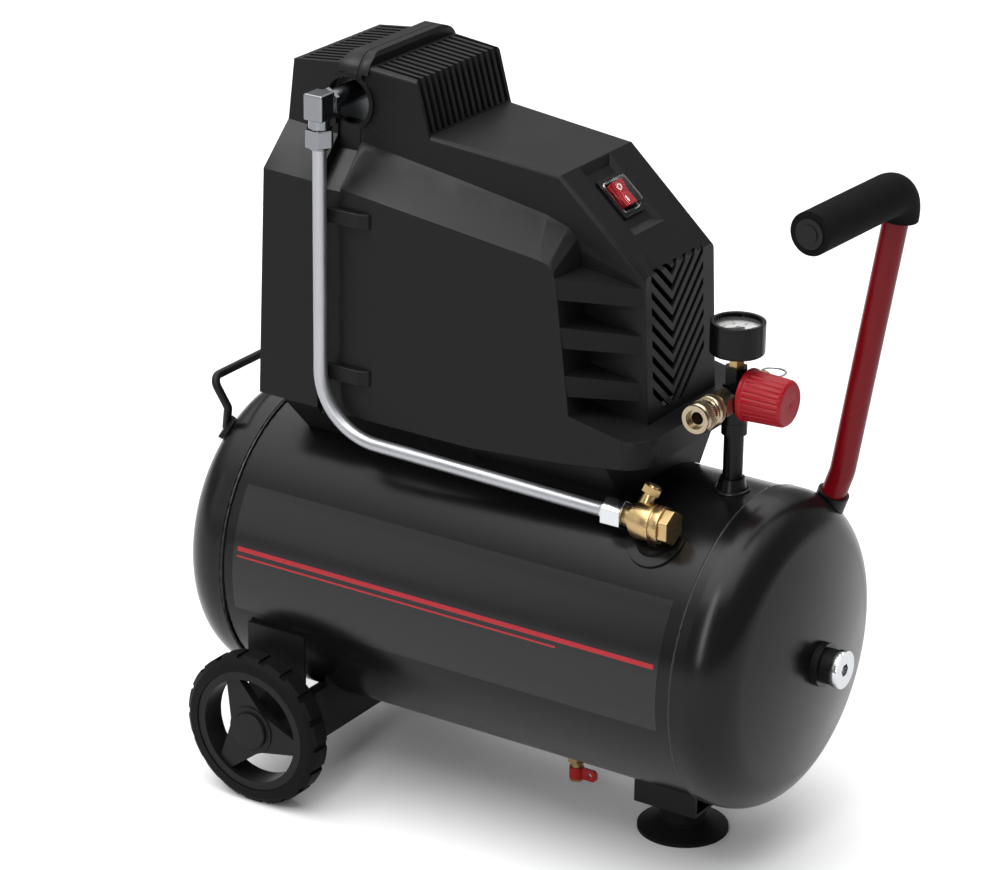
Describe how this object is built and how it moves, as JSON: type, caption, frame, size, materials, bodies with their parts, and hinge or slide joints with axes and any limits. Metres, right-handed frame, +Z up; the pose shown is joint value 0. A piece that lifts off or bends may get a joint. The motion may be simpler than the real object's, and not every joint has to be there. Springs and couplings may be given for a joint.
{
  "type": "air_compressor",
  "caption": "Portable oil-free air compressor on a horizontal tank with two wheels, a rubber foot, a pull handle, a plastic cover, a pressure regulator and a quick coupler.",
  "frame": {"origin": "on the floor under the middle of the whole compressor", "axes": "+X runs along the tank from the wheels towards the pull handle, +Y runs across the tank towards the pull handle's corner, +Z is up"},
  "size_m": [0.5641, 0.3266, 0.6055],
  "materials": {
    "tank_black": "satin",
    "bracket_black": "satin",
    "cover_black": "fine matte texture",
    "tyre_rubber": "matte",
    "foot_rubber": "matte",
    "rim_plastic": "satin",
    "handle_red": "gloss",
    "grip_foam": "matte foam",
    "knob_red": "satin",
    "rocker_red": "gloss",
    "switch_plastic": "satin",
    "zinc_steel": "bright zinc",
    "bolt_steel": "zinc plated",
    "pipe_aluminium": "drawn",
    "brass": "machined",
    "coupler_nickel": "nickel plated",
    "black_metal": "satin",
    "dial_white": "matte",
    "needle_black": "matte",
    "lens_clear": "clear",
    "cast_aluminium": "die cast",
    "lamination_steel": "laminated"
  },
  "bodies": {
    "compressor": {"tank_barrel": "tank_black", "tank_head_front": "tank_black", "tank_head_rear": "tank_black", "tank_bosses": "tank_black", "end_plug": "zinc_steel", "drain_body": "brass", "stub_axles": "bolt_steel", "axle_nuts": "bolt_steel", "axle_bracket": "bracket_black", "foot_bracket": "bracket_black", "rubber_foot": "foot_rubber", "foot_bolt": "bolt_steel", "handle_tube": "handle_red", "handle_grip": "grip_foam", "handle_end_cap": "rim_plastic", "handle_socket": "bracket_black", "lifting_handle": "bracket_black", "cover_rear": "cover_black", "cover_front": "cover_black", "cover_clips": "cover_black", "switch_bezel": "switch_plastic", "switch_body": "switch_plastic", "outlet_elbow": "zinc_steel", "outlet_nut": "zinc_steel", "delivery_pipe": "pipe_aluminium", "valve_nut": "zinc_steel", "check_valve": "brass", "valve_cap": "brass", "unloader_plug": "brass", "riser_tube": "zinc_steel", "regulator_body": "black_metal", "regulator_top": "black_metal", "gauge_stem": "brass", "gauge_case": "black_metal", "gauge_dial": "dial_white", "gauge_lens": "lens_clear", "gauge_bezel": "black_metal", "coupler_body": "coupler_nickel", "safety_valve": "brass", "cable_gland": "switch_plastic", "pump_base": "bolt_steel", "rubber_mounts": "foot_rubber", "pump_body": "cast_aluminium", "cylinder_head": "cast_aluminium", "motor_stator": "lamination_steel"},
    "wheel_left": {"tyre_left": "tyre_rubber", "rim_left": "rim_plastic", "hub_cap_left": "rim_plastic"},
    "wheel_right": {"tyre_right": "tyre_rubber", "rim_right": "rim_plastic", "hub_cap_right": "rim_plastic"},
    "pressure_knob": {"regulator_knob": "knob_red"},
    "rocker": {"switch_rocker": "rocker_red"},
    "needle": {"gauge_needle": "needle_black"},
    "sleeve": {"coupler_sleeve": "coupler_nickel"},
    "drain_tap": {"drain_wing": "rocker_red"},
    "relief_pin": {"safety_pin": "bolt_steel"},
    "motor": {"motor_rotor": "bolt_steel", "motor_fan": "rim_plastic"},
    "piston": {"piston_rod": "cast_aluminium"}
  },
  "joints": [
    {"name": "wheel_left_spin", "type": "hinge", "parent": "compressor", "child": "wheel_left", "pos_m": [-0.1705, -0.15, 0.0635], "axis": [0, 1, 0], "continuous": true},
    {"name": "wheel_right_spin", "type": "hinge", "parent": "compressor", "child": "wheel_right", "pos_m": [-0.1705, 0.15, 0.0635], "axis": [0, 1, 0], "continuous": true},
    {"name": "pressure_knob_turn", "type": "hinge", "parent": "compressor", "child": "pressure_knob", "pos_m": [0.1905, 0, 0.3794], "axis": [1, 0, 0], "range_deg": [-175, 175]},
    {"name": "rocker_tilt", "type": "hinge", "parent": "compressor", "child": "rocker", "pos_m": [0.06399, -0.004, 0.51235], "axis": [0, 1, 0], "range_deg": [0, 12]},
    {"name": "needle_turn", "type": "hinge", "parent": "compressor", "child": "needle", "pos_m": [0.1705, 0, 0.43], "axis": [0, 0, -1], "range_deg": [0, 270]},
    {"name": "sleeve_slide", "type": "slide", "parent": "compressor", "child": "sleeve", "axis": [0, 1, 0], "range_m": [0, 0.004], "stiffness_N_per_m": 1200, "springref_m": -0.002},
    {"name": "drain_turn", "type": "hinge", "parent": "compressor", "child": "drain_tap", "pos_m": [0.0375, 0, 0.02], "axis": [0, 0, 1], "range_deg": [-180, 180]},
    {"name": "relief_pull", "type": "slide", "parent": "compressor", "child": "relief_pin", "axis": [0, 1, 0], "range_m": [0, 0.003], "stiffness_N_per_m": 2000, "springref_m": -0.002},
    {"name": "motor_spin", "type": "hinge", "parent": "compressor", "child": "motor", "pos_m": [-0.0145, 0, 0.402], "axis": [1, 0, 0], "continuous": true},
    {"name": "piston_slide", "type": "slide", "parent": "compressor", "child": "piston", "axis": [0, 0, 1], "range_m": [-0.01, 0.01]}
  ]
}
